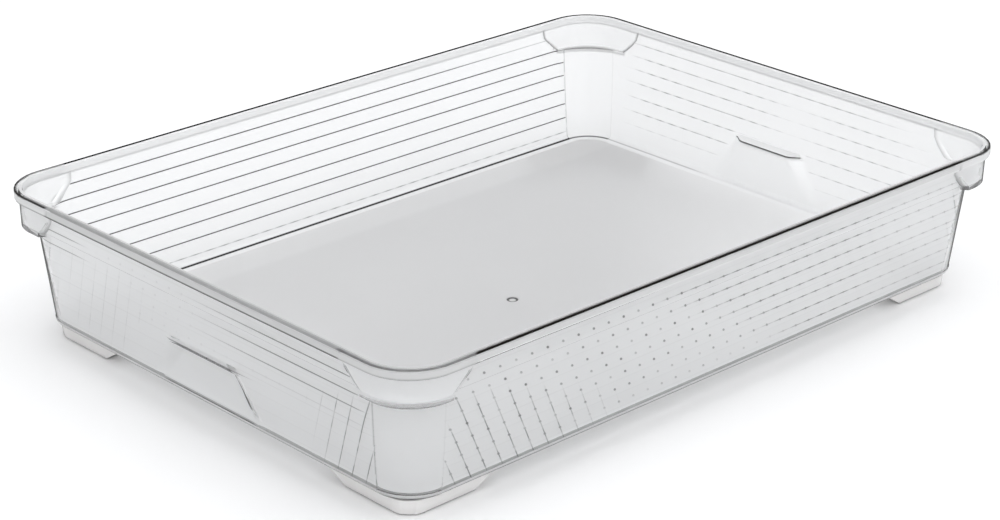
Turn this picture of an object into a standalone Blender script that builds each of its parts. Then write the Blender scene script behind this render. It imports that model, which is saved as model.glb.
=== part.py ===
"""Fridge bin: a shallow clear rectangular tray with drafted walls, a turned-out rim, a stepped seat in
each corner, a finger grip low in each short end, and four separate corner feet.

Metres, +Z up. The origin is on the resting surface at the middle of the footprint. The long side runs
along Y and the front short end faces -Y.
"""

import math

import bmesh
import bpy

# Overall size
LENGTH = 0.370
WIDTH = 0.2745
HEIGHT = 0.0711

# Shell
WALL = 0.0020
FLOOR_UNDERSIDE = 0.0073
BASE_HALF_X = 0.1242
BASE_HALF_Y = 0.1736
BASE_CORNER_RADIUS = 0.018
TOP_CORNER_RADIUS = 0.035
OUTER_FILLET = 0.0030
INNER_FILLET = 0.0050

# Turned-out rim
RIM_OVERHANG = 0.0018
RIM_DEPTH = 0.0036
RIM_CORNER_RADIUS = 0.0230

# Corner seats: each corner steps outwards above the seat
SEAT_BELOW_TOP = 0.0152
SEAT_END_Y = 0.1550
SEAT_END_X = 0.1040
SEAT_TOP_END_Y = 0.1460
SEAT_TOP_END_X = 0.0950
SEAT_CHEEK = 0.0025
SEAT_WALL_DRAFT = 0.0005

# Finger grips in the short ends
GRIP_TOP = 0.0325
GRIP_HALF_TOP = 0.0225
GRIP_HALF_BOTTOM = 0.0400
GRIP_DEPTH = 0.0046
GRIP_LEDGE = 0.0012
GRIP_CHEEK = 0.0030

# Corner feet
FOOT_HEIGHT = 0.0070
FOOT_HALF_X = 0.1204
FOOT_HALF_Y = 0.1702
FOOT_CORNER_RADIUS = 0.0150
FOOT_WIDTH = 0.0100
FOOT_ARM_X = 0.0500
FOOT_ARM_Y = 0.0480
FOOT_END_SLOPE = 0.0110
FOOT_SIDE_DRAFT = 0.0012

CORNER_STEPS = 8
FILLET_STEPS = 3
FOOT_ARC_STEPS = 6
MERGE_DISTANCE = 1e-6

WALL_TOP = HEIGHT - RIM_DEPTH
WALL_TOP_HALF_X = WIDTH / 2 - RIM_OVERHANG
WALL_TOP_HALF_Y = LENGTH / 2 - RIM_OVERHANG
SEAT_Z = HEIGHT - SEAT_BELOW_TOP


def clear_scene():
    for obj in list(bpy.data.objects):
        bpy.data.objects.remove(obj, do_unlink=True)


def clear_plastic_material():
    material = bpy.data.materials.new("clear_plastic")
    material.use_nodes = True
    shader = material.node_tree.nodes["Principled BSDF"]
    shader.inputs["Base Color"].default_value = (0.90, 0.93, 0.93, 1.0)
    shader.inputs["Roughness"].default_value = 0.08
    shader.inputs["Transmission Weight"].default_value = 0.85
    shader.inputs["IOR"].default_value = 1.49
    return material


def foot_material(name):
    material = bpy.data.materials.new(name)
    material.use_nodes = True
    shader = material.node_tree.nodes["Principled BSDF"]
    shader.inputs["Base Color"].default_value = (0.86, 0.83, 0.81, 1.0)
    shader.inputs["Roughness"].default_value = 0.35
    shader.inputs["Transmission Weight"].default_value = 0.5
    shader.inputs["IOR"].default_value = 1.47
    return material


def rise_fraction(z):
    return (z - FLOOR_UNDERSIDE) / (HEIGHT - FLOOR_UNDERSIDE)


def wall_halves(z):
    """Half width and half length of the wall's outer face at height z."""
    t = rise_fraction(z)
    half_x = BASE_HALF_X + (WALL_TOP_HALF_X - BASE_HALF_X) * t
    half_y = BASE_HALF_Y + (WALL_TOP_HALF_Y - BASE_HALF_Y) * t
    return half_x, half_y


def wall_radius(z):
    return BASE_CORNER_RADIUS + (TOP_CORNER_RADIUS - BASE_CORNER_RADIUS) * rise_fraction(z)


def seat_ends(z):
    """Where a corner's step ends along the long and the short side at height z."""
    t = min(max((z - SEAT_Z) / (HEIGHT - SEAT_Z), 0.0), 1.0)
    end_y = SEAT_END_Y + (SEAT_TOP_END_Y - SEAT_END_Y) * t
    end_x = SEAT_END_X + (SEAT_TOP_END_X - SEAT_END_X) * t
    return end_x, end_y


def grip_half(z):
    t = min(max((z - FLOOR_UNDERSIDE) / (GRIP_TOP - FLOOR_UNDERSIDE), 0.0), 1.0)
    return GRIP_HALF_BOTTOM + (GRIP_HALF_TOP - GRIP_HALF_BOTTOM) * t


def x_on_loop(half_x, half_y, radius, y):
    """x of the rounded rectangle's right side at a given y."""
    past = y - (half_y - radius)
    if past <= 0:
        return half_x
    return half_x - radius + math.sqrt(max(radius * radius - past * past, 0.0))


def y_on_loop(half_x, half_y, radius, x):
    return x_on_loop(half_y, half_x, radius, x)


def corner_path(half_x, half_y, radius, start, end):
    """A dense path round one corner of the rounded rectangle, from start to end."""
    centre_x = half_x - radius
    centre_y = half_y - radius
    first = math.atan2(max(start[1] - centre_y, 0.0), start[0] - centre_x)
    last = math.atan2(end[1] - centre_y, max(end[0] - centre_x, 0.0))
    path = [start]
    steps = 48
    for i in range(steps + 1):
        angle = first + (last - first) * i / steps
        path.append((centre_x + radius * math.cos(angle), centre_y + radius * math.sin(angle)))
    path.append(end)
    return path


def spread(path, count):
    """count points at equal steps along the path, its two ends left out."""
    lengths = [0.0]
    for a, b in zip(path[:-1], path[1:]):
        lengths.append(lengths[-1] + math.dist(a, b))
    points = []
    j = 0
    for i in range(1, count + 1):
        target = lengths[-1] * i / (count + 1)
        while lengths[j + 1] < target:
            j += 1
        t = (target - lengths[j]) / max(lengths[j + 1] - lengths[j], 1e-12)
        a, b = path[j], path[j + 1]
        points.append((a[0] + (b[0] - a[0]) * t, a[1] + (b[1] - a[1]) * t))
    return points


def quarter(z, plain, stepped, inset, grip_inset):
    """Stations of one quarter of a ring, from the long side's middle to the short side's middle.

    plain and stepped are (half_x, half_y, radius). The corner follows stepped and the rest follows plain.
    """
    end_x, end_y = seat_ends(z)
    px, py, pr = (plain[0] - inset, plain[1] - inset, max(plain[2] - inset, 0.001))
    sx, sy, sr = (stepped[0] - inset, stepped[1] - inset, max(stepped[2] - inset, 0.001))
    cheek_y = end_y + SEAT_CHEEK
    cheek_x = end_x + SEAT_CHEEK
    start = (x_on_loop(sx, sy, sr, cheek_y), cheek_y)
    end = (cheek_x, y_on_loop(sx, sy, sr, cheek_x))
    side = [(px, 0.0), (x_on_loop(px, py, pr, end_y), end_y), start]
    side += spread(corner_path(sx, sy, sr, start, end), CORNER_STEPS)
    half = grip_half(z)
    side += [
        end,
        (end_x, y_on_loop(px, py, pr, end_x)),
        (half + GRIP_CHEEK, py),
        (half, py - grip_inset),
        (0.0, py - grip_inset),
    ]
    return side


def ring(z, plain, stepped, inset=0.0, grip_inset=0.0):
    """A full closed ring at height z, from four mirrored quarters."""
    first = quarter(z, plain, stepped, inset, grip_inset)
    second = [(-x, y) for x, y in reversed(first)][1:]
    third = [(-x, -y) for x, y in first][1:]
    fourth = [(x, -y) for x, y in reversed(first)][1:-1]
    return [(x, y, z) for x, y in first + second + third + fourth]


def wall_loop(z):
    half_x, half_y = wall_halves(z)
    return half_x, half_y, wall_radius(z)


def step_loop(z):
    """The stepped-out corner's outer face. It leans in a little towards the seat, as a moulding does."""
    lean = SEAT_WALL_DRAFT * (HEIGHT - z) / (HEIGHT - SEAT_Z)
    return WALL_TOP_HALF_X - lean, WALL_TOP_HALF_Y - lean, RIM_CORNER_RADIUS - RIM_OVERHANG - lean


def rim_loop():
    return WIDTH / 2, LENGTH / 2, RIM_CORNER_RADIUS


def grip_depth(z):
    """The grip's face stands nearly upright from the bottom edge, so it deepens as the wall leans out."""
    t = (z - FLOOR_UNDERSIDE - OUTER_FILLET) / (GRIP_TOP - GRIP_LEDGE - FLOOR_UNDERSIDE - OUTER_FILLET)
    return GRIP_DEPTH * min(max(t, 0.0), 1.0)


def outer_rings():
    rings = []
    for i in range(FILLET_STEPS + 1):
        angle = math.pi / 2 * i / FILLET_STEPS
        z = FLOOR_UNDERSIDE + OUTER_FILLET * (1 - math.cos(angle))
        rings.append(ring(z, wall_loop(z), wall_loop(z), OUTER_FILLET * (1 - math.sin(angle))))
    z = GRIP_TOP - GRIP_LEDGE
    rings.append(ring(z, wall_loop(z), wall_loop(z), 0.0, grip_depth(z)))
    z = GRIP_TOP
    rings.append(ring(z, wall_loop(z), wall_loop(z)))
    z = SEAT_Z - WALL
    rings.append(ring(z, wall_loop(z), wall_loop(z)))
    rings.append(ring(z, wall_loop(z), step_loop(z)))
    rings.append(ring(WALL_TOP, wall_loop(WALL_TOP), step_loop(WALL_TOP)))
    rings.append(ring(WALL_TOP, rim_loop(), rim_loop()))
    rings.append(ring(HEIGHT, rim_loop(), rim_loop()))
    return rings


def inner_rings():
    rings = [
        ring(HEIGHT, wall_loop(HEIGHT), step_loop(HEIGHT), WALL),
        ring(SEAT_Z, wall_loop(SEAT_Z), step_loop(SEAT_Z), WALL),
        ring(SEAT_Z, wall_loop(SEAT_Z), wall_loop(SEAT_Z), WALL),
    ]
    z = GRIP_TOP + WALL
    rings.append(ring(z, wall_loop(z), wall_loop(z), WALL))
    z = GRIP_TOP + WALL - GRIP_LEDGE
    rings.append(ring(z, wall_loop(z), wall_loop(z), WALL, grip_depth(z)))
    floor = FLOOR_UNDERSIDE + WALL
    for i in range(FILLET_STEPS + 1):
        angle = math.pi / 2 * i / FILLET_STEPS
        z = floor + INNER_FILLET * (1 - math.sin(angle))
        inset = WALL + INNER_FILLET * (1 - math.cos(angle))
        rings.append(ring(z, wall_loop(z), wall_loop(z), inset, grip_depth(z)))
    return rings


def loft(bm, rings):
    """Joins the rings in order with quads and closes both ends with a flat face."""
    levels = [[bm.verts.new(point) for point in points] for points in rings]
    count = len(levels[0])
    for lower, upper in zip(levels[:-1], levels[1:]):
        for i in range(count):
            j = (i + 1) % count
            bm.faces.new((lower[i], lower[j], upper[j], upper[i]))
    bm.faces.new(list(reversed(levels[0])))
    bm.faces.new(levels[-1])


def object_from(bm, name, material, sharp_angle):
    bmesh.ops.remove_doubles(bm, verts=bm.verts[:], dist=MERGE_DISTANCE)
    bmesh.ops.dissolve_degenerate(bm, edges=bm.edges[:], dist=MERGE_DISTANCE)
    bmesh.ops.triangulate(bm, faces=bm.faces[:])
    bmesh.ops.recalc_face_normals(bm, faces=bm.faces[:])
    mesh = bpy.data.meshes.new(name)
    bm.to_mesh(mesh)
    bm.free()
    mesh.shade_smooth()
    mesh.set_sharp_from_angle(angle=math.radians(sharp_angle))
    mesh.materials.append(material)
    obj = bpy.data.objects.new(name, mesh)
    bpy.context.scene.collection.objects.link(obj)
    return obj


def make_tub():
    bm = bmesh.new()
    loft(bm, outer_rings() + inner_rings())
    return object_from(bm, "bin_tub", clear_plastic_material(), 35)


def foot_outline(height):
    """An L in plan with a round outer corner, for the +X +Y corner. It narrows towards the bottom."""
    drop = 1 - height / FOOT_HEIGHT
    half_x = FOOT_HALF_X - FOOT_SIDE_DRAFT * drop
    half_y = FOOT_HALF_Y - FOOT_SIDE_DRAFT * drop
    start_y = FOOT_HALF_Y - FOOT_ARM_Y + FOOT_END_SLOPE * drop
    start_x = FOOT_HALF_X - FOOT_ARM_X + FOOT_END_SLOPE * drop
    outer = FOOT_CORNER_RADIUS
    inner = FOOT_CORNER_RADIUS - FOOT_WIDTH + FOOT_SIDE_DRAFT * drop * 2
    inner_x = FOOT_HALF_X - FOOT_WIDTH + FOOT_SIDE_DRAFT * drop
    inner_y = FOOT_HALF_Y - FOOT_WIDTH + FOOT_SIDE_DRAFT * drop
    points = [(half_x, start_y)]
    for i in range(FOOT_ARC_STEPS + 1):
        angle = math.pi / 2 * i / FOOT_ARC_STEPS
        points.append((half_x - outer + outer * math.cos(angle), half_y - outer + outer * math.sin(angle)))
    points.append((start_x, half_y))
    points.append((start_x, inner_y))
    for i in range(FOOT_ARC_STEPS + 1):
        angle = math.pi / 2 * (1 - i / FOOT_ARC_STEPS)
        points.append((inner_x - inner + inner * math.cos(angle), inner_y - inner + inner * math.sin(angle)))
    points.append((inner_x, start_y))
    return points


def make_foot(name, sign_x, sign_y):
    bottom = [(sign_x * x, sign_y * y, 0.0) for x, y in foot_outline(0.0)]
    top = [(sign_x * x, sign_y * y, FOOT_HEIGHT) for x, y in foot_outline(FOOT_HEIGHT)]
    bm = bmesh.new()
    loft(bm, [bottom, top])
    return object_from(bm, name, foot_material(name + "_plastic"), 35)


def main():
    clear_scene()
    make_tub()
    make_foot("foot_front_left", -1, -1)
    make_foot("foot_front_right", 1, -1)
    make_foot("foot_rear_left", -1, 1)
    make_foot("foot_rear_right", 1, 1)


main()
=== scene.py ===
"""Clear shallow fridge bin: one thin-walled plastic tub standing on four corner feet.

Metres, +Z up. The front short wall faces -Y. The tub's two skins are lofted row by row, so that its
ribbed walls, stepped corners, finger grips and turned-out rim are one closed moulding.
"""
import math
from dataclasses import dataclass

import bmesh
import bpy
import numpy as np
from bpy.props import FloatProperty, PointerProperty
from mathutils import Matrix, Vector


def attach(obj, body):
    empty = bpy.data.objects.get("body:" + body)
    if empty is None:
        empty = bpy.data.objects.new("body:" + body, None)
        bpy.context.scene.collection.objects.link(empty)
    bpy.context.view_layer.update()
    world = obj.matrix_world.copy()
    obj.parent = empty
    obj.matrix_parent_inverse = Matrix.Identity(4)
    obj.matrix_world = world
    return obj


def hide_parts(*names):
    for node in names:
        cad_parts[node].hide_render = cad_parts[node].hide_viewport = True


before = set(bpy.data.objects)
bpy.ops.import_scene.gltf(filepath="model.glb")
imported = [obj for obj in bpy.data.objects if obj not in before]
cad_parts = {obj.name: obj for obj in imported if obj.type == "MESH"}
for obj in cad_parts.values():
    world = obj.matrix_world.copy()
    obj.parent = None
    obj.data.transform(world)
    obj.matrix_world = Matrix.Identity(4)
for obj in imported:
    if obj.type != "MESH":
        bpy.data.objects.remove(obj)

bl_info = {
    "name": "Clear Fridge Bin",
    "version": (1, 0, 0),
    "blender": (4, 5, 0),
    "location": "View3D > Sidebar > Fridge Bin",
    "description": "Builds a clear shallow fridge bin and its plain studio stage",
    "category": "Object",
}

# Shell
FLOOR_UNDERSIDE = 0.0073
BASE_HALF_X = 0.1242
BASE_HALF_Y = 0.1736
BASE_RADIUS = 0.018
TOP_RADIUS = 0.035
RIM_OVERHANG = 0.0018
RIM_DEPTH = 0.0044
RIM_RADIUS = 0.023
RIM_FILLET = 0.0006
RIM_LINE = 0.0020
BOTTOM_FILLET = 0.0030
FLOOR_FILLET = 0.0022
FLOOR_BORDER = 0.0076

# Stepped corners
SEAT_Z = 0.0559
SEAT_LEAN = 0.0005
SEAT_CHEEK = 0.0025
SEAT_END_HEIGHTS = (0.0559, 0.0570, 0.0585, 0.0604, 0.0625, 0.0639, 0.0670, 0.0711)
SEAT_ENDS_Y = (0.1560, 0.1545, 0.1530, 0.1511, 0.1490, 0.1478, 0.1474, 0.1472)
SEAT_ENDS_X = (0.1052, 0.1037, 0.1021, 0.1002, 0.0983, 0.0972, 0.0966, 0.0962)
CORNER_STATIONS = 18

# Plain corner panels, recessed a little from the ribbed walls
PANEL_X = (0.1066, 0.1112)
PANEL_Y = (0.1557, 0.1592)
PANEL_EDGE = 0.0005
PANEL_RECESS = 0.00022

# Ribbed walls: level creases on both faces and leaning flutes on the outer face
INNER_CREASES = (0.0626, 0.0560, 0.0494, 0.0426, 0.0350, 0.0277, 0.0205, 0.0132)
OUTER_CREASES = (0.0594, 0.0523, 0.0454, 0.0384, 0.0312, 0.0239, 0.0166)
GROOVE_HALF = 0.00038
GROOVE_GUARD = 0.0008
BAND_CREST = 0.000006
FLUTE_MIDDLE = 0.0335
FLUTE_LEAN_SHORT = 0.44
FLUTE_LEAN_LONG = 0.54
LEAN_RUN_SHORT = 0.015
LEAN_RUN_LONG = 0.018
FLUTE_BOTTOM = 0.0115
FLUTE_RISE = 0.0020
FLUTE_FADE = 0.0615
FLUTE_TOP = 0.0640

# Finger grips in the short walls
GRIP_TOP = 0.0325
GRIP_HALF_TOP = 0.0225
GRIP_HALF_BOTTOM = 0.0400
GRIP_DEPTH = 0.0046
GRIP_LEDGE = 0.0010
GRIP_CHEEK = 0.0080
GRIP_MARGIN = 0.0008
GRIP_TOP_INSIDE = 0.0350
GRIP_STATIONS = (-0.0465, 0.0598)
GRIP_CHEEK_STATIONS = 4

# Dimple in the floor: its middle, its rings as (radius, rise), and the painted shade on each ring
DIMPLE = (0.0086, -0.0082)
DIMPLE_SIZES = ((0.0034, 0.0), (0.0030, -0.0001), (0.0022, -0.0005), (0.0010, -0.0006))
DIMPLE_SHADES = (0.0, 0.0, 0.9, 0.0)

# Corner feet
FOOT_HALF_X = 0.1204
FOOT_HALF_Y = 0.1702
FOOT_CORNER = 0.0150
FOOT_WIDTH = 0.0100
FOOT_ARM_X = 0.0500
FOOT_ARM_Y = 0.0480
FOOT_SLOPE = 0.0110
FOOT_DRAFT = 0.0012
FOOT_CORNER_DRAFT = 0.8
FOOT_EDGE = 0.0006

# Rows of the walls between the bottom edge and the rim
OUTER_LOW_ROW = 0.0109
OUTER_TOP_ROW = 0.0660
INNER_TOP_ROW = 0.0690
UPPER_INNER_ROWS = (0.0615, 0.0641, 0.0655, 0.0672)

# Mesh
SHARP_ANGLE = math.radians(24)
MERGE_DISTANCE = 2e-6
ON_EDGE = 1e-5
ON_CUT = 1e-6
FAR = 0.01

# Walls and corners run round the bin in this order. Corners are numbered from 4, the front right one first.
FRONT, RIGHT, BACK, LEFT = 0, 1, 2, 3
FRONT_RIGHT, RIGHT_BACK = 4, 5

# Material slots of the tub
CLEAR_LAND, FLOOR_LAND, RIM_LAND, INSIDE_LAND = 0, 1, 2, 3

# Painted shade along the moulding's own edges: how dark each line is per wall and then, where given, per
# corner
BOTTOM_SHADE = (0.75, 0.65, 0.30, 0.45)
BOTTOM_SHARES = (0.0, 1.0, 1.0, 0.48, 0.0, 0.0)
FLANGE_SHADE = (0.48, 0.05, 0.10, 0.15)
BAND_SHADE = (0.20, 0.19, 0.10, 0.10)
RIM_SHADE = (0.20, 0.62, 0.80, 0.80, 0.36, 0.50, 0.80, 0.50)
RIM_STRIP_SHADE = (0.02, 0.12, 0.90, 0.90, 0.04, 0.05, 0.90, 0.05)
LAND_SHADE = (0.34, 0.34, 0.05, 0.05)
LIP_SHADE = (0.12, 0.10, 0.04, 0.04)
CORNER_SHADE = (0.05, 0.05, 0.26, 0.75)
GRIP_LIP_FRONT = (0.42, 0.0)
GRIP_LIP_BACK = (0.0, 0.60)

# Painted shade along the folds round the stepped corners' seats, per corner
SEAT_FOLD_OUTSIDE = (0.20, 0.28, 0.05, 0.28)
SEAT_FOLD_INSIDE = (0.08, 0.22, 0.42, 0.22)

# Painted shade along the upright edges at each wall's low and high end: of the stepped corners, then of the
# panels
CHEEK_LOW = (0.26, 0.08, 0.36, 0.24)
CHEEK_HIGH = (0.08, 0.26, 0.24, 0.36)
PANEL_LOW = (0.06, 0.10, 0.12, 0.10)
PANEL_HIGH = (0.24, 0.10, 0.10, 0.26)

# Painted shade along the ribs' lines. A stretch along a wall or up it is where the shade starts and is full
# and, where it ends again, where it fades and is gone.
FAINT = 0.03
FAINT_INSIDE = 0.04
RIGHT_STROKE_TOP, RIGHT_STROKE_FALL = 0.056, 0.33
NEAR_STROKE_TOP, NEAR_STROKE_FALL = 0.052, 0.30
LINES_START, LINES_START_Z, LINES_START_LEAN = 0.040, 0.0205, 1.9
RIGHT_STROKES, RIGHT_STROKE_SHADE = (0.001, 0.008, 0.045, 0.110), 0.62
NEAR_STROKES, NEAR_STROKE_SHADE = (0.018, 0.046), 0.60
FAR_STROKES, FAR_STROKE_SHADE = (0.012, 0.026, 0.060, 0.085), 0.12
FAR_STROKE_HEIGHTS = (0.012, 0.018, 0.050, 0.058)
FRONT_CREASES, FRONT_CREASE_SHADE = (-0.015, 0.060, 0.098, 0.110), 0.75
FRONT_CREASE_HEIGHTS = (0.034, 0.050)
CORNER_CREASES, CORNER_CREASE_SHADE = (-0.088, -0.070), 0.6
CORNER_CREASE_HEIGHTS = (0.050, 0.053)
FRONT_DOTS, FRONT_DOT_SHADE = (-0.085, -0.040, 0.085, 0.100), 0.10
FRONT_DOT_HEIGHTS = (0.030, 0.036)
RIGHT_DOT_HEIGHTS, RIGHT_DOT_SHADE = (0.010, 0.020), 0.72
BACK_CREASES_LEFT = (-0.104, -0.080, -0.020, 0.020)
BACK_CREASES_RIGHT = (0.005, 0.050, 0.060, 0.104)
BACK_CREASE_HEIGHTS, BACK_CREASE_SHADE = (0.0150, 0.0300), 0.62
TOP_CREASE, TOP_CREASE_SHADE = (-0.110, -0.080, 0.040, 0.090), 0.50
LEFT_CREASE_SHADE = 0.95

# Half widths over which the painted shade of the lines fades, in millimetres
STROKE_WIDTH = (0.15, 0.42)
LEVEL_WIDTH = (0.12, 0.38)
DOT_WIDTH = (0.35, 0.95)

# Colours
CLEAR = (0.975, 0.978, 0.979, 1.0)
CLOUDED = (0.950, 0.955, 0.957, 1.0)
MILKY = (0.995, 0.998, 1.0, 1.0)
MILKY_CLOUDED = (0.975, 0.980, 0.983, 1.0)
LAMP_SHARE = (0.55, 0.55, 0.55, 1.0)
FROSTED = (0.80, 0.80, 0.80, 1.0)
FROSTED_UNEVEN = (0.76, 0.76, 0.765, 1.0)
# White of the frosted floor's painted light at the rear right and painted reflection along the left wall
FROSTED_PAINTED_LIGHT = (1.0, 1.0, 1.0, 1.0)
LAND = (0.93, 0.93, 0.93, 1.0)
LAND_UNEVEN = (0.88, 0.88, 0.88, 1.0)
# Near black of the painted shade along the lines
LINE = (0.010, 0.008, 0.007, 1.0)
FOOT_CLEAR = (0.995, 0.985, 0.978, 1.0)
FOOT_CLOUDED = (0.985, 0.972, 0.964, 1.0)
STUDIO_FLOOR = (0.90, 0.90, 0.90, 1.0)
STUDIO_FLOOR_UNEVEN = (0.91, 0.91, 0.91, 1.0)
SKY = (0.985, 0.990, 1.0, 1.0)

# Camera
CAMERA_TARGET = (0.0, 0.0, 0.037)
CAMERA_AZIMUTH = math.radians(46.477)
CAMERA_ELEVATION = math.radians(22.553)
CAMERA_ROLL = math.radians(0.193)
CAMERA_DISTANCE = 1.2075
CAMERA_LENS = 95.69
CAMERA_SENSOR = 36.0
CAMERA_SHIFT = (-0.01273, -0.02740)


class BinSizes(bpy.types.PropertyGroup):
    """The sizes that set the bin's overall proportions and its ribbing"""

    length: FloatProperty(
        name="Length", description="Over the rim, front to back", default=0.3700, unit="LENGTH"
    )
    width: FloatProperty(
        name="Width", description="Over the rim, side to side", default=0.2745, unit="LENGTH"
    )
    height: FloatProperty(name="Height", description="From feet to rim", default=0.0711, unit="LENGTH")
    wall: FloatProperty(name="Wall", description="Of walls and floor", default=0.0020, unit="LENGTH")
    flute_pitch: FloatProperty(
        name="Flute pitch", description="Between flutes", default=0.0085, unit="LENGTH"
    )
    groove_depth: FloatProperty(
        name="Groove", description="Depth of a groove", default=0.00005, unit="LENGTH"
    )
    foot_height: FloatProperty(
        name="Foot height", description="Of a corner foot", default=0.0070, unit="LENGTH"
    )


def ease(low, high, value):
    """0 below low, 1 above high, with a smooth rise between."""
    t = np.clip((np.asarray(value, float) - low) / (high - low), 0.0, 1.0)
    return t * t * (3 - 2 * t)


def rise(sizes, z):
    return (z - FLOOR_UNDERSIDE) / (sizes.height - FLOOR_UNDERSIDE)


def wall_loop(sizes, z):
    """Half width, half length and corner radius of the walls' outer face at a height."""
    t = rise(sizes, z)
    top_x = sizes.width / 2 - RIM_OVERHANG
    top_y = sizes.length / 2 - RIM_OVERHANG
    return (
        BASE_HALF_X + (top_x - BASE_HALF_X) * t,
        BASE_HALF_Y + (top_y - BASE_HALF_Y) * t,
        BASE_RADIUS + (TOP_RADIUS - BASE_RADIUS) * t,
    )


def step_loop(sizes, z):
    """The same for the stepped-out corners, which lean in a little towards the seat."""
    lean = SEAT_LEAN * (sizes.height - z) / (sizes.height - SEAT_Z)
    less = RIM_OVERHANG + lean
    return sizes.width / 2 - less, sizes.length / 2 - less, RIM_RADIUS - less


def rim_loop(sizes, z):
    return sizes.width / 2, sizes.length / 2, RIM_RADIUS


def shrink(loop, inset):
    return loop[0] - inset, loop[1] - inset, max(loop[2] - inset, 0.0005)


def x_on(loop, y):
    """x of the rounded rectangle's right side at y."""
    half_x, half_y, radius = loop
    past = np.maximum(np.abs(y) - (half_y - radius), 0.0)
    return half_x - radius + np.sqrt(np.maximum(radius * radius - past * past, 0.0))


def y_on(loop, x):
    return x_on((loop[1], loop[0], loop[2]), x)


def round_corner(loop, end_x, end_y, gap, count):
    """Evenly spaced points round the +X +Y corner, from the long side's end to the short side's end."""
    half_x, half_y, radius = loop
    start_y, stop_x = end_y + gap, end_x + gap
    first = math.asin(min(max((start_y - half_y + radius) / radius, 0.0), 1.0))
    last = math.acos(min(max((stop_x - half_x + radius) / radius, 0.0), 1.0))
    angles = np.linspace(first, last, 60)
    xs = np.concatenate([[x_on(loop, start_y)], half_x - radius + radius * np.cos(angles), [stop_x]])
    ys = np.concatenate([[start_y], half_y - radius + radius * np.sin(angles), [y_on(loop, stop_x)]])
    run = np.concatenate([[0.0], np.cumsum(np.hypot(np.diff(xs), np.diff(ys)))])
    at = np.linspace(0.0, run[-1], count)
    return np.interp(at, run, xs), np.interp(at, run, ys)


@dataclass
class Row:
    """One ring of the moulding. Reliefs are outwards from the skin that the row belongs to.

    Edge is the painted line shade of the whole ring, fold that of its corners and lip that of its front and
    back grips.
    """

    z: float
    corner_z: float = None
    corner: object = wall_loop
    wall: object = wall_loop
    inset: float = 0.0
    recess: float = 0.0
    band: float = 0.0
    crease: bool = False
    flute: float = 0.0
    gripped: bool = True
    grip: float = 0.0
    inner: bool = False
    edge: object = 0.0
    fold: object = 0.0
    lip: tuple = (0.0, 0.0)
    stepped: bool = False
    land: int = CLEAR_LAND

    @property
    def facing(self):
        """1 where the skin faces away from the bin and -1 where it faces into it."""
        return -1.0 if self.inner else 1.0


def grip_half(z):
    t = min(max((z - FLOOR_UNDERSIDE) / (GRIP_TOP - FLOOR_UNDERSIDE), 0.0), 1.0)
    return GRIP_HALF_BOTTOM + (GRIP_HALF_TOP - GRIP_HALF_BOTTOM) * t


def flute_stations(sizes, half_length, run):
    """Base position of every station along a wall, and how far across its flute it lies."""
    groove = GROOVE_HALF / sizes.flute_pitch
    across = np.array([0.0, groove, 0.5, 1.0 - groove])
    count = math.ceil((half_length + run) / sizes.flute_pitch)
    turns = np.arange(-count, count)[:, None] + across[None, :]
    return turns.ravel() * sizes.flute_pitch, np.tile(across, 2 * count)


class Layout:
    """The stations that every row shares, so that the rows can be joined one to one."""

    def __init__(self, sizes):
        self.sizes = sizes
        self.front, self.front_across = flute_stations(sizes, PANEL_X[1], LEAN_RUN_SHORT)
        self.side, self.side_across = flute_stations(sizes, PANEL_Y[1], LEAN_RUN_LONG)
        middle = np.nonzero((self.front > GRIP_STATIONS[0]) & (self.front < GRIP_STATIONS[1]))[0]
        self.first, self.last = middle[0], middle[-1]

    def front_x(self, z, gripped):
        """x of the front wall's stations. Below a grip's top the middle ones follow the grip's sides."""
        x = self.front + FLUTE_LEAN_SHORT * (z - FLUTE_MIDDLE)
        if gripped:
            count = self.last - self.first
            half = grip_half(z)
            fifth = count // 5
            past = fifth + GRIP_CHEEK_STATIONS
            keys = [0, fifth, past, count - past, count - fifth, count]
            places = [x[self.first], -half, GRIP_CHEEK - half, half - GRIP_CHEEK, half, x[self.last]]
            x[self.first : self.last + 1] = np.interp(np.arange(count + 1), keys, places)
        return x

    def side_y(self, z):
        return self.side - FLUTE_LEAN_LONG * (z - FLUTE_MIDDLE)

    def ends(self, row):
        """How far the ribbed part of the short and the long walls reaches at this row."""
        if row.stepped:
            return (
                float(np.interp(row.z, SEAT_END_HEIGHTS, SEAT_ENDS_X)),
                float(np.interp(row.z, SEAT_END_HEIGHTS, SEAT_ENDS_Y)),
            )
        t = (row.z - FLOOR_UNDERSIDE) / (SEAT_Z - FLOOR_UNDERSIDE)
        return PANEL_X[0] + (PANEL_X[1] - PANEL_X[0]) * t, PANEL_Y[0] + (PANEL_Y[1] - PANEL_Y[0]) * t


def keep_within(along, end):
    """Gathers the stations past either end onto it, but for one that stays just short of it."""
    kept = np.clip(along, -end, end)
    past = np.nonzero(along > end)[0]
    kept[past[0]] = max(kept[past[0] - 1], end - GROOVE_GUARD)
    before = np.nonzero(along < -end)[0]
    kept[before[-1]] = min(kept[before[-1] + 1], GROOVE_GUARD - end)
    return kept


def flute_relief(sizes, across, amount):
    """Outward relief across a flute: a groove at its edge and a gentle crest in the middle."""
    groove = GROOVE_HALF / sizes.flute_pitch
    edge = np.minimum(across, 1 - across)
    crest = BAND_CREST * (1 - (2 * across - 1) ** 2)
    return amount * np.where(edge < groove * 0.5, -sizes.groove_depth, crest)


def wall_relief(layout, row, along, end, across, plain):
    """Relief of one wall's stations, and which of them lie in its ribbed part."""
    ribbed = (np.abs(along) < end - GROOVE_HALF) & ~plain
    relief = np.where(ribbed, row.band, 0.0)
    relief = relief + np.where(ribbed, flute_relief(layout.sizes, across, row.flute), 0.0)
    if row.crease:
        relief = np.where(ribbed, -layout.sizes.groove_depth, relief)
    return relief, ribbed


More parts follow.
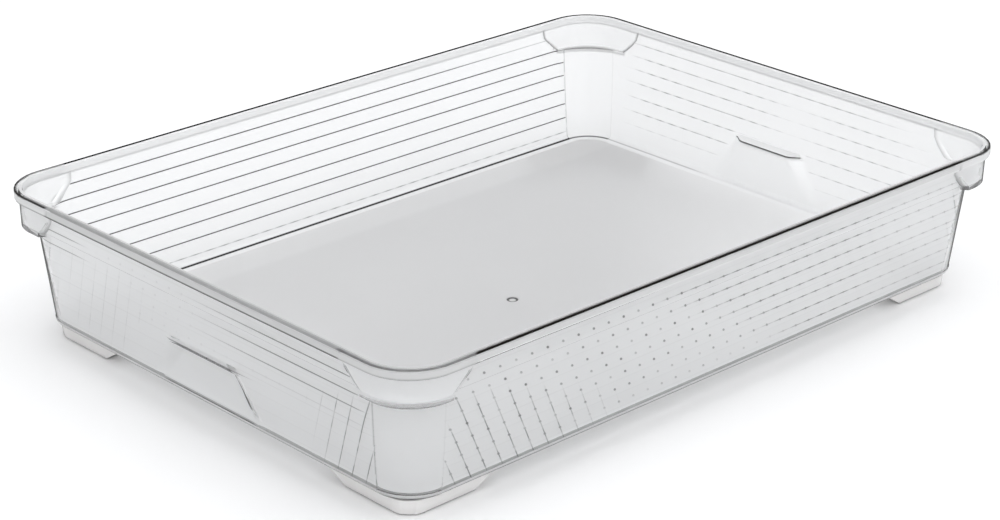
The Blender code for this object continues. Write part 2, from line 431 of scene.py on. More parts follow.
def in_grip(layout, row, x):
    """Which of the front wall's stations lie in its finger grip, where there are no ribs."""
    within = np.zeros(x.shape, bool)
    middle = slice(layout.first + 1, layout.last)
    if row.gripped and not row.inner:
        within[middle] = True
    elif row.gripped and row.z <= GRIP_TOP_INSIDE:
        within[middle] = np.abs(x[middle]) < grip_half(row.z) + GRIP_MARGIN
    return within


def front_wall(layout, row, wall, end):
    """The front wall's stations, and which of them lie in its ribbed part."""
    x = layout.front_x(row.z, row.gripped)
    plain = in_grip(layout, row, x)
    x = keep_within(x, end)
    relief, ribbed = wall_relief(layout, row, x, end, layout.front_across, plain)
    into = row.grip * ease(0.0, GRIP_CHEEK, grip_half(row.z) - np.abs(x))
    return x, -(y_on(wall, x) + row.facing * relief - into), ribbed


def right_wall(layout, row, wall, end):
    """The same for the right wall, which has no grip."""
    y = keep_within(layout.side_y(row.z), end)
    relief, ribbed = wall_relief(layout, row, y, end, layout.side_across, np.zeros(y.shape, bool))
    return x_on(wall, y) + row.facing * relief, y, ribbed


def half_ring(layout, row):
    """Points, wall number, ribbed mask and distance to the nearest flute's groove for half of a row."""
    sizes = layout.sizes
    wall = shrink(row.wall(sizes, row.z), row.inset)
    corner_z = row.z if row.corner_z is None else row.corner_z
    corner = shrink(row.corner(sizes, corner_z), row.inset + row.recess)
    end_x, end_y = layout.ends(row)
    x, y, ribbed = front_wall(layout, row, wall, end_x)
    side_x, side_y, side_ribbed = right_wall(layout, row, wall, end_y)
    upright_gap = SEAT_CHEEK if row.stepped else PANEL_EDGE
    corner_x, corner_y = round_corner(corner, end_x, end_y, upright_gap, CORNER_STATIONS)

    counts = (len(x), CORNER_STATIONS, len(side_y), CORNER_STATIONS)
    no = np.zeros(CORNER_STATIONS, bool)
    front_gap = flute_gap(sizes, x, FLUTE_LEAN_SHORT, row.z)
    side_gap = flute_gap(sizes, side_y, -FLUTE_LEAN_LONG, row.z)
    return (
        np.concatenate([x, corner_x[::-1], side_x, corner_x]),
        np.concatenate([y, -corner_y[::-1], side_y, corner_y]),
        np.repeat([row.z, corner_z, row.z, corner_z], counts),
        np.repeat([FRONT, FRONT_RIGHT, RIGHT, RIGHT_BACK], counts),
        np.concatenate([ribbed, no, side_ribbed, no]),
        np.concatenate([front_gap, no + FAR, side_gap, no + FAR]),
    )


def flute_gap(sizes, along, lean, z):
    """Distance from the nearest flute's groove."""
    place = along - lean * (z - FLUTE_MIDDLE)
    return np.abs(place - np.round(place / sizes.flute_pitch) * sizes.flute_pitch)


def window(value, start, full, fade, end):
    """1 from full to fade and 0 outside start and end."""
    return ease(start, full, value) * (1 - ease(fade, end, value))


def below(top, z):
    """1 well below a height and 0 above it."""
    return 1 - ease(top - 0.005, top + 0.004, z)


def flute_shade(part, along, z):
    """Painted shade along each flute's groove, by its height. It is darkest beside the front right corner."""
    from_corner = along + PANEL_Y[1]
    top = RIGHT_STROKE_TOP - RIGHT_STROKE_FALL * from_corner
    right = RIGHT_STROKE_SHADE * window(from_corner, *RIGHT_STROKES) * below(top, z)
    inward = PANEL_X[1] - along
    top = NEAR_STROKE_TOP - NEAR_STROKE_FALL * inward
    near = NEAR_STROKE_SHADE * (1 - ease(*NEAR_STROKES, inward)) * below(top, z)
    outward = PANEL_X[1] + along
    far = FAR_STROKE_SHADE * window(outward, *FAR_STROKES) * window(z, *FAR_STROKE_HEIGHTS)
    return np.select([part == FRONT, part == RIGHT], [np.maximum(near, far), right], FAINT)


def broken(gap, least):
    """Breaks the painted shade of a level groove into dashes that are strongest where it crosses a flute."""
    return 1 - (1 - least) * np.clip(gap / 0.0040, 0.0, 1.0)


def lines_start(z):
    """Where along the right wall the dots give way to lines. The higher a groove, the nearer the front."""
    return LINES_START - LINES_START_LEAN * (z - LINES_START_Z)


def outer_crease_shade(part, along, z, gap):
    """Painted shade along the level grooves outside, drawn as lines towards one end of a wall."""
    start = lines_start(z)
    right = ease(start - 0.022, start + 0.022, along) * (0.80 - 0.45 * ease(0.080, 0.110, along))
    right = right * broken(gap, 0.30)
    front = FRONT_CREASE_SHADE * window(along, *FRONT_CREASES) * ease(*FRONT_CREASE_HEIGHTS, z)
    corner = CORNER_CREASE_SHADE * (1 - ease(*CORNER_CREASES, along)) * ease(*CORNER_CREASE_HEIGHTS, z)
    return np.select([part == FRONT, part == RIGHT], [np.maximum(front, corner), right], FAINT)


def dot_shade(part, along, z):
    """Painted shade as a separate dot where a level groove crosses a flute outside."""
    start = lines_start(z)
    right = RIGHT_DOT_SHADE * (1 - 0.6 * ease(start, start + 0.050, along)) * ease(*RIGHT_DOT_HEIGHTS, z)
    right = right * (1 - 0.35 * ease(-0.110, -0.010, along) * (1 - ease(0.020, 0.040, z)))
    front = FRONT_DOT_SHADE * window(along, *FRONT_DOTS) * ease(*FRONT_DOT_HEIGHTS, z)
    return np.select([part == FRONT, part == RIGHT], [front, right], FAINT)


def inner_crease_shade(part, along, z, gap):
    """Painted shade along the level grooves inside: long drawn lines on the left wall and finer, broken ones
    on the back wall.
    """
    left = LEFT_CREASE_SHADE * (1 - 0.70 * ease(0.050, 0.150, along) * ease(0.0600, 0.0620, z))
    left = left * np.where(z < 0.0150, 0.6 * broken(gap, 0.3), 1.0)
    beside_grip = np.maximum(window(along, *BACK_CREASES_LEFT), 0.75 * window(along, *BACK_CREASES_RIGHT))
    back = BACK_CREASE_SHADE * beside_grip * broken(gap, 0.25) * ease(*BACK_CREASE_HEIGHTS, z)
    top = TOP_CREASE_SHADE * window(along, *TOP_CREASE) * broken(gap, 0.5)
    back = np.where(z > 0.0600, top, back)
    return np.select([part == BACK, part == LEFT], [back, left], FAINT_INSIDE)


def per_part(values, part):
    """A value per wall and per corner. Corners that aren't given take the mean of their two walls."""
    corners = values[4:] or [(values[i] + values[(i + 1) % 4]) / 2 for i in range(4)]
    return np.array(list(values[:4]) + list(corners))[part]


def at_ends(row, part, along, end):
    """Painted line shade along the panels' and the stepped corners' upright edges, on the skin that faces the
    room.
    """
    if row.stepped:
        low, high = CHEEK_LOW, CHEEK_HIGH
    else:
        low, high = PANEL_LOW, PANEL_HIGH
    wall = np.minimum(part, 3)
    shade_amount = np.where(along < 0, np.array(low)[wall], np.array(high)[wall])
    seen = (part < 2) != row.inner
    return shade_amount * seen * (np.abs(along) > end - 1e-7) * (part < 4)


def edge_shade(row, part, along, end):
    """Painted line shade along the moulding's own edges at a row."""
    shade_amount = per_part(row.edge, part) if isinstance(row.edge, tuple) else np.full(part.shape, row.edge)
    if row.inner and row.z < SEAT_Z:
        shade_amount = shade_amount * np.where(part == BACK, 1 - ease(-0.050, -0.030, along), 1.0)
        shade_amount = shade_amount * np.where(part == RIGHT_BACK, 0.0, 1.0)
    if FLOOR_UNDERSIDE + 0.0021 < row.z < INNER_TOP_ROW:
        shade_amount = np.maximum(shade_amount, at_ends(row, part, along, end))
    if isinstance(row.fold, tuple):
        shade_amount = np.where(part > 3, np.maximum(shade_amount, np.array((0, 0, 0, 0) + row.fold)[part]), shade_amount)
    within = np.abs(along) < grip_half(row.z) - 0.001
    front, back = row.lip
    return np.maximum(shade_amount, within * np.select([part == FRONT, part == BACK], [front, back], 0.0))


def full_ring(layout, row):
    """Points and painted line shade values of a whole row. The second half is the first turned half round."""
    px, py, pz, part, ribbed, gap = half_ring(layout, row)
    x, y, z = np.concatenate([px, -px]), np.concatenate([py, -py]), np.concatenate([pz, pz])
    part = np.concatenate([part, part + 2])
    ribbed, gap = np.concatenate([ribbed, ribbed]), np.concatenate([gap, gap])
    along = np.where(part % 2 == 0, x, y)
    end_x, end_y = layout.ends(row)
    shade_amount = edge_shade(row, part, along, np.where(part % 2 == 0, end_x, end_y))
    creases = INNER_CREASES if row.inner else OUTER_CREASES
    paint = inner_crease_shade if row.inner else outer_crease_shade
    outside = 0.0 if row.inner else 1.0
    on_wall = FLOOR_UNDERSIDE + 0.0035 < row.z < INNER_TOP_ROW
    values = {
        "line_shade": shade_amount,
        "flute_gap": gap * 1000,
        "crease_gap": np.full(x.shape, min(abs(row.z - c) for c in creases) * 1000 if on_wall else 10.0),
        "flute_shade": outside * on_wall * ribbed * flute_shade(part, along, z),
        "crease_shade": ribbed * paint(part, along, z, gap),
        "dot_shade": outside * on_wall * ribbed * dot_shade(part, along, z),
    }
    return np.stack([x, y, z], axis=1), values


def grip_depth(z):
    """The grip's face stands nearly upright from the bottom edge, so it deepens as the wall leans out."""
    foot = FLOOR_UNDERSIDE + BOTTOM_FILLET
    return GRIP_DEPTH * min(max((z - foot) / (GRIP_TOP - GRIP_LEDGE - foot), 0.0), 1.0)


def crease_rows(creases, low, high, middles):
    """Heights from low to high, with the three that shape each groove: (height, in a groove, band relief)."""
    marks = [(low, False, 0.0), (high, False, 0.0)]
    for z in creases:
        marks += [(z - GROOVE_HALF, False, 0.0), (z, True, 0.0), (z + GROOVE_HALF, False, 0.0)]
    for lower, upper in zip(sorted(creases)[:-1], sorted(creases)[1:]):
        for share in middles:
            z = lower + (upper - lower) * share
            marks.append((z, False, BAND_CREST * (1 - (2 * share - 1) ** 2)))
    return sorted(mark for mark in marks if low <= mark[0] <= high)


def outer_rows(sizes):
    """The outer skin from the underside's edge up to the rim's outer edge."""
    rows = []
    for i in range(6):
        angle = math.pi / 2 * i / 5
        z = FLOOR_UNDERSIDE + BOTTOM_FILLET * (1 - math.cos(angle))
        inset = BOTTOM_FILLET * (1 - math.sin(angle))
        # Painted shade along the bottom edge's fillet
        edge = tuple(BOTTOM_SHARES[i] * shade_amount for shade_amount in BOTTOM_SHADE)
        rows.append(Row(z, inset=inset, edge=edge, land=INSIDE_LAND if i else CLEAR_LAND))
    marks = crease_rows(OUTER_CREASES, OUTER_LOW_ROW, OUTER_TOP_ROW, (0.14, 0.5, 0.86))
    marks += [(FLUTE_BOTTOM, False, 0.0), (FLUTE_FADE, False, 0.0), (FLUTE_TOP, False, 0.0)]
    for z, crease, band in sorted(marks):
        flute = float(window(z, FLUTE_BOTTOM, FLUTE_BOTTOM + FLUTE_RISE, FLUTE_FADE, FLUTE_TOP))
        stepped = z > SEAT_Z - sizes.wall + 0.0001
        rows.append(
            Row(
                z,
                crease=crease,
                band=band,
                flute=flute,
                gripped=z < GRIP_TOP + 0.0010,
                grip=grip_depth(z) if z < GRIP_TOP - GRIP_LEDGE else 0.0,
                stepped=stepped,
                corner=step_loop if stepped else wall_loop,
                recess=0.0 if stepped else PANEL_RECESS,
            )
        )
    rows += grip_rows_outer() + seat_rows_outer(sizes)
    rows.sort(key=lambda row: row.z)
    return rows + rim_rows(sizes)


def grip_rows_outer():
    """The grip's top edge, and the row where the flutes' stations take over above it."""
    return [
        Row(GRIP_TOP - GRIP_LEDGE, flute=1.0, grip=GRIP_DEPTH, recess=PANEL_RECESS),
        Row(GRIP_TOP, flute=1.0, recess=PANEL_RECESS, lip=GRIP_LIP_FRONT),
        Row(GRIP_TOP + 0.0010, flute=1.0, recess=PANEL_RECESS, gripped=False),
    ]


def seat_rows_outer(sizes):
    """Under each corner seat the corner steps straight out."""
    z = SEAT_Z - sizes.wall
    below_step = dict(flute=1.0, gripped=False, recess=PANEL_RECESS)
    step = dict(flute=1.0, gripped=False, corner=step_loop, stepped=True)
    return [
        Row(z - 0.0004, **below_step),
        Row(z, **below_step),
        Row(z + 0.0002, corner_z=z, fold=SEAT_FOLD_OUTSIDE, **step),
        Row(z + 0.0008, **step),
    ]


def rim_rows(sizes):
    """The turned-out rim, from under its flange over the top to the inside edge."""
    low = sizes.height - RIM_DEPTH
    top = sizes.height
    rim = dict(corner=rim_loop, wall=rim_loop, stepped=True, gripped=False)
    step = dict(corner=step_loop, stepped=True, gripped=False)
    rows = [
        Row(low, inset=0.0, **step),
        Row(low, inset=RIM_FILLET, **rim),
        # Rows given an edge value carry painted shade along the rim's lines
        Row(low + RIM_FILLET * 0.3, inset=RIM_FILLET * 0.3, edge=FLANGE_SHADE, **rim),
        Row(low + RIM_FILLET, edge=FLANGE_SHADE, land=INSIDE_LAND, **rim),
        Row(low + RIM_FILLET + 0.0006, edge=BAND_SHADE, land=INSIDE_LAND, **rim),
        Row(top - RIM_FILLET - 0.0003, edge=BAND_SHADE, land=INSIDE_LAND, **rim),
    ]
    for i in range(4):
        angle = math.pi / 2 * i / 3
        z = top - RIM_FILLET + RIM_FILLET * math.sin(angle)
        rows.append(Row(z, inset=RIM_FILLET * (1 - math.cos(angle)), edge=RIM_SHADE if i else 0.0, **rim))
    rows.append(Row(top, inset=RIM_LINE, edge=RIM_STRIP_SHADE, **rim))
    rows.append(Row(top, inset=RIM_LINE + 0.0002, land=RIM_LAND, edge=LAND_SHADE, **rim))
    rows.append(Row(top, inset=sizes.wall - RIM_FILLET - 0.0002, land=RIM_LAND, edge=LAND_SHADE, **step))
    step.update(inner=True, land=INSIDE_LAND)
    wall, part = sizes.wall, RIM_FILLET * 0.3
    rows.append(Row(top, inset=wall - RIM_FILLET, edge=LIP_SHADE, **step))
    rows.append(Row(top - part, inset=wall - part, edge=LIP_SHADE, **step))
    rows.append(Row(top - RIM_FILLET, inset=wall, **step))
    return rows


def inner_rows(sizes):
    """The inner skin from below the rim down to the floor."""
    rows = []
    low = FLOOR_UNDERSIDE + sizes.wall + FLOOR_FILLET
    marks = crease_rows(INNER_CREASES, low + 0.0002, INNER_TOP_ROW, (0.33, 0.67))
    marks += [(z, False, 0.0) for z in UPPER_INNER_ROWS]
    for z, crease, band in sorted(marks, reverse=True):
        stepped = z > INNER_CREASES[1] - 0.0001
        rows.append(
            Row(
                z,
                corner_z=SEAT_Z if abs(z - INNER_CREASES[1]) < 2e-4 else None,
                crease=crease,
                band=band,
                inset=sizes.wall,
                inner=True,
                stepped=stepped,
                land=INSIDE_LAND,
                corner=step_loop if stepped else wall_loop,
                grip=grip_depth(z) if z < GRIP_TOP + sizes.wall - GRIP_LEDGE else 0.0,
            )
        )
    rows += inner_seat_and_grip(sizes)
    rows.sort(key=lambda row: -row.z)
    return rows + floor_rows(sizes)


def inner_seat_and_grip(sizes):
    """The fold round each corner seat, and the grip's ledge as the inner skin follows it."""
    z = INNER_CREASES[1]
    inside = dict(inset=sizes.wall, inner=True, land=INSIDE_LAND)
    seat = Row(z - 0.00015, corner_z=SEAT_Z, fold=SEAT_FOLD_INSIDE, **inside)
    after = Row(z - 0.0007, **inside)
    edge = GRIP_TOP + sizes.wall
    top = Row(edge + 0.0003, **inside)
    lip = Row(edge, **inside)
    ledge = Row(edge - GRIP_LEDGE, grip=GRIP_DEPTH, lip=GRIP_LIP_BACK, **inside)
    above = Row(edge - GRIP_LEDGE * 0.85, grip=GRIP_DEPTH * 0.85, **inside)
    return [seat, after, top, lip, above, ledge]


def floor_rows(sizes):
    """The inside corner at the floor, the clear border and the frosted floor's edge."""
    floor = FLOOR_UNDERSIDE + sizes.wall
    rows = []
    for i in range(5):
        angle = math.pi / 2 * i / 4
        z = floor + FLOOR_FILLET * (1 - math.sin(angle))
        inset = sizes.wall + FLOOR_FILLET * (1 - math.cos(angle))
        # Painted shade in the inside corner where the walls meet the floor
        edge = CORNER_SHADE if i == 3 else 0.0
        rows.append(Row(z, inset=inset, inner=True, grip=grip_depth(z), edge=edge, land=INSIDE_LAND))
    rows.append(Row(floor, inset=FLOOR_BORDER - 0.0003, inner=True, land=INSIDE_LAND))
    for inset in (FLOOR_BORDER, FLOOR_BORDER + 0.0024):
        rows.append(Row(floor, inset=inset, inner=True, land=FLOOR_LAND))
    return rows


def dimple_rings(last):
    """A small round dimple in the floor, from its edge to its bottom."""
    out = last - np.array([DIMPLE[0], DIMPLE[1], 0.0])
    out = out / np.linalg.norm(out[:, :2], axis=1)[:, None]
    rings = []
    for radius, rise_by in DIMPLE_SIZES:
        ring = out * radius + np.array([DIMPLE[0], DIMPLE[1], 0.0])
        ring[:, 2] = last[0, 2] + rise_by
        rings.append(ring)
    return rings


def loft(name, rings, values, lands):
    """Joins the rings in order and closes both ends. Rings of one land give their faces its material slot."""
    count = len(rings[0])
    step = np.arange(count)
    after = (step + 1) % count
    faces, slots = [], []
    for level in range(len(rings) - 1):
        a, b = level * count, (level + 1) * count
        faces += np.stack([a + step, a + after, b + after, b + step], axis=1).tolist()
        slots += [min(lands[level], lands[level + 1])] * count
    slots += [lands[0], lands[-1]]
    faces.append(list(range(count))[::-1])
    last = (len(rings) - 1) * count
    faces.append(list(range(last, last + count)))
    mesh = bpy.data.meshes.new(name)
    mesh.from_pydata(np.concatenate(rings).tolist(), [], faces)
    for label in values[0]:
        layer = mesh.attributes.new(label, "FLOAT", "POINT")
        layer.data.foreach_set("value", np.concatenate([value[label] for value in values]).astype(np.float32))
    mesh.polygons.foreach_set("material_index", slots)
    obj = bpy.data.objects.new(name, mesh)
    bpy.context.scene.collection.objects.link(obj)
    return obj


def pick(obj):
    bpy.ops.object.select_all(action="DESELECT")
    obj.select_set(True)
    bpy.context.view_layer.objects.active = obj


def tidy_mesh(obj, threshold):
    """Merges the stations that meet, drops what collapsed and turns every face outwards."""
    pick(obj)
    bpy.ops.object.mode_set(mode="EDIT")
    bpy.ops.mesh.select_all(action="SELECT")
    bpy.ops.mesh.remove_doubles(threshold=threshold)
    bpy.ops.mesh.dissolve_degenerate(threshold=threshold)
    bpy.ops.mesh.select_all(action="SELECT")
    bpy.ops.mesh.normals_make_consistent(inside=False)
    bpy.ops.object.mode_set(mode="OBJECT")
    bpy.ops.object.shade_smooth_by_angle(angle=SHARP_ANGLE)
    even_shading(obj)


def even_shading(obj):
    """Lets the large faces set the normals, so that a narrow groove doesn't bend the light across a band."""
    pick(obj)
    weigh = obj.modifiers.new("Even shading", "WEIGHTED_NORMAL")
    weigh.keep_sharp = True
    weigh.weight = 50
    bpy.ops.object.modifier_apply(modifier=weigh.name)


def build_tub(sizes):
    layout = Layout(sizes)
    rows = outer_rows(sizes) + inner_rows(sizes)
    made = [full_ring(layout, row) for row in rows]
    plain = {label: value * 0.0 for label, value in made[0][1].items()}
    plain["flute_gap"] = plain["crease_gap"] = plain["line_shade"] + 10.0
    dimple = dimple_rings(made[-1][0])
    # The dimple's rings carry painted shade, dark on the third ring only.
    dark = [dict(plain, line_shade=plain["line_shade"] + shade_amount) for shade_amount in DIMPLE_SHADES]
    rings = [m[0] for m in made] + dimple
    lands = [row.land for row in rows] + [FLOOR_LAND] * len(dimple)
    tub = loft("fridge_bin_tub", rings, [m[1] for m in made] + dark, lands)
    tidy_mesh(tub, MERGE_DISTANCE)
    return tub


def choose(obj, mode, wanted):
    """Leaves edit mode's selection on the points, edges or faces that pass wanted."""
    bpy.ops.mesh.select_mode(type=mode)
    bpy.ops.mesh.select_all(action="DESELECT")
    bm = bmesh.from_edit_mesh(obj.data)
    for item in {"VERT": bm.verts, "EDGE": bm.edges, "FACE": bm.faces}[mode]:
        if wanted(item):
            item.select_set(True)
    bm.select_flush_mode()
    bmesh.update_edit_mesh(obj.data)


def cut_foot_inside(foot, x, y):
    """Takes the inner quadrant out of the block, which leaves an L, and closes its two new faces."""
    for point, normal in (((x, 0, 0), (1, 0, 0)), ((0, y, 0), (0, 1, 0))):
        bpy.ops.mesh.select_all(action="SELECT")
        bpy.ops.mesh.bisect(plane_co=point, plane_no=normal)
    choose(foot, "FACE", lambda face: all(face.calc_center_median()[i] < (x, y)[i] for i in (0, 1)))
    bpy.ops.mesh.delete(type="FACE")
    for side, place, other in ((0, x, y), (1, y, x)):
        choose(foot, "VERT", lambda v: abs(v.co[side] - place) < ON_CUT and v.co[1 - side] < other + ON_CUT)
        bpy.ops.mesh.edge_face_add()


def round_upright_edge(foot, x, y, radius, segments):
    """Rounds the upright edge that stands at x and y."""

    def stands_there(edge):
        low, high = (vert.co for vert in edge.verts)
        middle = (low + high) / 2
        upright = abs((high - low).normalized().z) > 0.9
        return upright and abs(middle.x - x) < ON_EDGE and abs(middle.y - y) < ON_EDGE

    choose(foot, "EDGE", stands_there)
    bpy.ops.mesh.bevel(offset=radius, segments=segments, affect="EDGES")


def foot_block(sizes):
    """The block that a foot is cut from, with edit mode left on."""
    size = (FOOT_ARM_X, FOOT_ARM_Y, sizes.foot_height)
    centre = (FOOT_HALF_X - size[0] / 2, FOOT_HALF_Y - size[1] / 2, size[2] / 2)
    bpy.ops.mesh.primitive_cube_add(size=1.0, location=centre)
    foot = bpy.context.active_object
    foot.scale = size
    bpy.ops.object.transform_apply(location=True, rotation=True, scale=True)
    bpy.ops.object.mode_set(mode="EDIT")
    return foot


def slope_foot_ends(foot, low):
    """Draws the bottom of each arm's end back, so that the end face slopes."""
    choose(foot, "VERT", lambda v: v.co.z < low and v.co.y < FOOT_HALF_Y - FOOT_ARM_Y + ON_EDGE)
    bpy.ops.transform.translate(value=(0, FOOT_SLOPE, 0))
    choose(foot, "VERT", lambda v: v.co.z < low and v.co.x < FOOT_HALF_X - FOOT_ARM_X + ON_EDGE)
    bpy.ops.transform.translate(value=(FOOT_SLOPE, 0, 0))


def taper_foot(foot, low):
    """Draws the bottom in on its outer and inner sides by the draft."""
    bm = bmesh.from_edit_mesh(foot.data)
    half = FOOT_WIDTH / 2
    line_x, line_y = FOOT_HALF_X - half, FOOT_HALF_Y - half
    for vert in bm.verts:
        if vert.co.z < low:
            across = np.clip((vert.co.x - line_x) / half, -1, 1)
            vert.co.x -= FOOT_DRAFT * across * (vert.co.y < line_y)
            across = np.clip((vert.co.y - line_y) / half, -1, 1)
            vert.co.y -= FOOT_DRAFT * across * (vert.co.x < line_x)
    corner = [v for v in bm.verts if v.co.z < low and v.co.x >= line_x and v.co.y >= line_y]
    for vert in corner:
        vert.co.x -= FOOT_DRAFT * FOOT_CORNER_DRAFT
        vert.co.y -= FOOT_DRAFT * FOOT_CORNER_DRAFT
    bmesh.update_edit_mesh(foot.data)


def soften_foot(foot):
    bevel = foot.modifiers.new("Soft edges", "BEVEL")
    bevel.width = FOOT_EDGE
    bevel.segments = 3
    bevel.limit_method = "ANGLE"
    bevel.angle_limit = math.radians(30)
    bpy.ops.object.modifier_apply(modifier=bevel.name)
    bpy.ops.object.shade_smooth_by_angle(angle=math.radians(35))


def build_foot(sizes):
    """The rear right foot: an L with a round outer corner, sloped ends, a little draft and soft edges."""
    foot = foot_block(sizes)
    x, y = FOOT_HALF_X - FOOT_WIDTH, FOOT_HALF_Y - FOOT_WIDTH
    cut_foot_inside(foot, x, y)
    round_upright_edge(foot, FOOT_HALF_X, FOOT_HALF_Y, FOOT_CORNER, 14)
    round_upright_edge(foot, x, y, FOOT_CORNER - FOOT_WIDTH, 10)
    low = sizes.foot_height / 2
    slope_foot_ends(foot, low)
    taper_foot(foot, low)
    bpy.ops.mesh.select_all(action="SELECT")
    bpy.ops.mesh.normals_make_consistent(inside=False)
    bpy.ops.object.mode_set(mode="OBJECT")
    soften_foot(foot)
    return foot


def foot_copy(foot, name, sign_x, sign_y):
    """A mirrored copy with a mesh of its own, left at the origin with its faces outwards."""
    pick(foot)
    bpy.ops.object.duplicate(linked=False)
    copy = bpy.context.active_object
    copy.name = name
    copy.data.name = name
    copy.scale = (sign_x, sign_y, 1)
    bpy.ops.object.transform_apply(location=True, rotation=True, scale=True)
    if sign_x * sign_y < 0:
        bpy.ops.object.mode_set(mode="EDIT")
        bpy.ops.mesh.select_all(action="SELECT")
        bpy.ops.mesh.normals_make_consistent(inside=False)
        bpy.ops.object.mode_set(mode="OBJECT")
    return copy


def add(tree, kind, **inputs):
    node = tree.nodes.new(kind)
    for key, value in inputs.items():
        node.inputs[key.replace("_", " ")].default_value = value
    return node


def ramp_value(tree, source, low, high, out_low, out_high):
    node = add(tree, "ShaderNodeMapRange")
    node.interpolation_type = "SMOOTHSTEP"
    tree.links.new(source, node.inputs["Value"])
    for key, value in (("From Min", low), ("From Max", high), ("To Min", out_low), ("To Max", out_high)):
        node.inputs[key].default_value = value
    return node.outputs["Result"]


def mix_colour(tree, factor, first, second):
    node = add(tree, "ShaderNodeMix")
    node.data_type = "RGBA"
    tree.links.new(factor, node.inputs[0])
    for socket, value in ((node.inputs[6], first), (node.inputs[7], second)):
        if isinstance(value, tuple):
            socket.default_value = value
        else:
            tree.links.new(value, socket)
    return node.outputs[2]


def combine(tree, operation, first, second):
    node = add(tree, "ShaderNodeMath")
    node.operation = operation
    tree.links.new(first, node.inputs[0])
    tree.links.new(second, node.inputs[1])
    return node.outputs[0]


def larger(tree, first, second):
    return combine(tree, "MAXIMUM", first, second)


def times(tree, first, second):
    return combine(tree, "MULTIPLY", first, second)


def place_in(tree, space="Object"):
    return add(tree, "ShaderNodeTexCoord").outputs[space]


def axes_of(tree, space="Object"):
    """The place's X, Y and Z as sockets."""
    split = add(tree, "ShaderNodeSeparateXYZ")
    tree.links.new(place_in(tree, space), split.inputs[0])
    return split.outputs


def noise(tree, scale, detail):
    node = add(tree, "ShaderNodeTexNoise", Scale=scale, Detail=detail)
    tree.links.new(place_in(tree), node.inputs["Vector"])
    return node.outputs["Fac"]


def attribute(tree, name):
    node = add(tree, "ShaderNodeAttribute")
    node.attribute_name = name
    return node.outputs["Fac"]


def principled(name, roughness, transmission):
    material = bpy.data.materials.new(name)
    material.use_nodes = True
    shader = material.node_tree.nodes["Principled BSDF"]
    shader.inputs["Roughness"].default_value = roughness
    shader.inputs["IOR"].default_value = 1.49
    shader.inputs["Transmission Weight"].default_value = transmission
    return material, material.node_tree, shader


def uneven(tree, scale, first, second):
    """A tone that drifts faintly between two colours."""
    return mix_colour(tree, noise(tree, scale, 2.0), first, second)


def distance(tree, first, second):
    """How far off the crossing of two lines a point is, from its distance to each."""
    across = add(tree, "ShaderNodeCombineXYZ")
    tree.links.new(first, across.inputs[0])
    tree.links.new(second, across.inputs[1])
    length = add(tree, "ShaderNodeVectorMath")
    length.operation = "LENGTH"
    tree.links.new(across.outputs[0], length.inputs[0])
    return length.outputs["Value"]


def line_strength(tree):
    """Painted shade as dark thin lines: the moulding's edges, its flutes, its level grooves and the dots
    where they cross.
    """

    def line(gap, width, shade_amount):
        return times(tree, ramp_value(tree, gap, *width, 1.0, 0.0), attribute(tree, shade_amount))

    flute, crease = attribute(tree, "flute_gap"), attribute(tree, "crease_gap")
    edge = ramp_value(tree, attribute(tree, "line_shade"), 0.0, 0.60, 0.0, 1.0)
    # Noise breaks the painted shade of the flutes and dots into uneven patches.
    patchy = ramp_value(tree, noise(tree, 150.0, 1.0), 0.35, 0.62, 0.40, 1.0)
    stroke = line(flute, STROKE_WIDTH, "flute_shade")
    level = line(crease, LEVEL_WIDTH, "crease_shade")
    dot = line(distance(tree, flute, crease), DOT_WIDTH, "dot_shade")
    return larger(tree, larger(tree, edge, level), times(tree, patchy, larger(tree, stroke, dot)))


def draw_lines(tree, shader, strength):
    """Paints shade: mixes the plastic with near black where a line runs."""
    line_shade_bsdf = add(tree, "ShaderNodeBsdfDiffuse", Color=LINE)
    mix = add(tree, "ShaderNodeMixShader")
    tree.links.new(strength, mix.inputs[0])
    tree.links.new(shader.outputs[0], mix.inputs[1])
    tree.links.new(line_shade_bsdf.outputs[0], mix.inputs[2])
    return mix


def plastic(name, clear, clouded, roughness, edge, transmission=1.0, lined=True):
    """Clear plastic: a faintly uneven tone, with painted shade where it turns away from the eye and, as dark
    lines, along its edges and grooves or, on the feet, along their bottom.
    """
    material, tree, shader = principled(name, roughness, transmission)
    tree.links.new(uneven(tree, 22.0, clear, clouded), shader.inputs["Base Color"])
    # Painted shade: darker towards near black where the plastic turns away from the eye, from the edge value
    # up.
    facing = add(tree, "ShaderNodeLayerWeight", Blend=0.5).outputs["Facing"]
    strength = ramp_value(tree, facing, edge, edge + 0.16, 0.0, 0.85)
    if lined:
        strength = larger(tree, strength, line_strength(tree))
    else:
        # Painted shade along the lowest 0.7 mm of each foot, where it stands on the floor.
        bottom = ramp_value(tree, axes_of(tree)["Z"], 0.0, 0.0007, 0.65, 0.0)
        strength = larger(tree, strength, bottom)
    let_lamps_through(tree, draw_lines(tree, shader, strength))
    return material


def frosted(name, first, second, transmission, painted_light=None):
    """Finely textured plastic that blurs what lies behind it. Where a light colour is given, the floor drifts
    to it as painted light towards the rear right and as a painted reflection of the left wall beside it.
    """
    material, tree, shader = principled(name, 0.35, transmission)
    colour = uneven(tree, 14.0, first, second)
    if painted_light:
        axes = axes_of(tree)
        # Painted light: the floor brightens towards the rear right.
        rear_right = ramp_value(tree, combine(tree, "ADD", axes["X"], axes["Y"]), 0.03, 0.22, 0.0, 1.0)
        # Painted reflection of the left wall: a light band along the floor beside it.
        left = ramp_value(tree, axes["X"], -0.1020, -0.0960, 0.22, 0.0)
        colour = mix_colour(tree, larger(tree, rear_right, left), colour, painted_light)
    tree.links.new(colour, shader.inputs["Base Color"])
    # Painted shade of the dimple's ring and the rim land's lines.
    strength = ramp_value(tree, attribute(tree, "line_shade"), 0.0, 1.0, 0.0, 1.0)
    let_lamps_through(tree, draw_lines(tree, shader, strength))
    return material


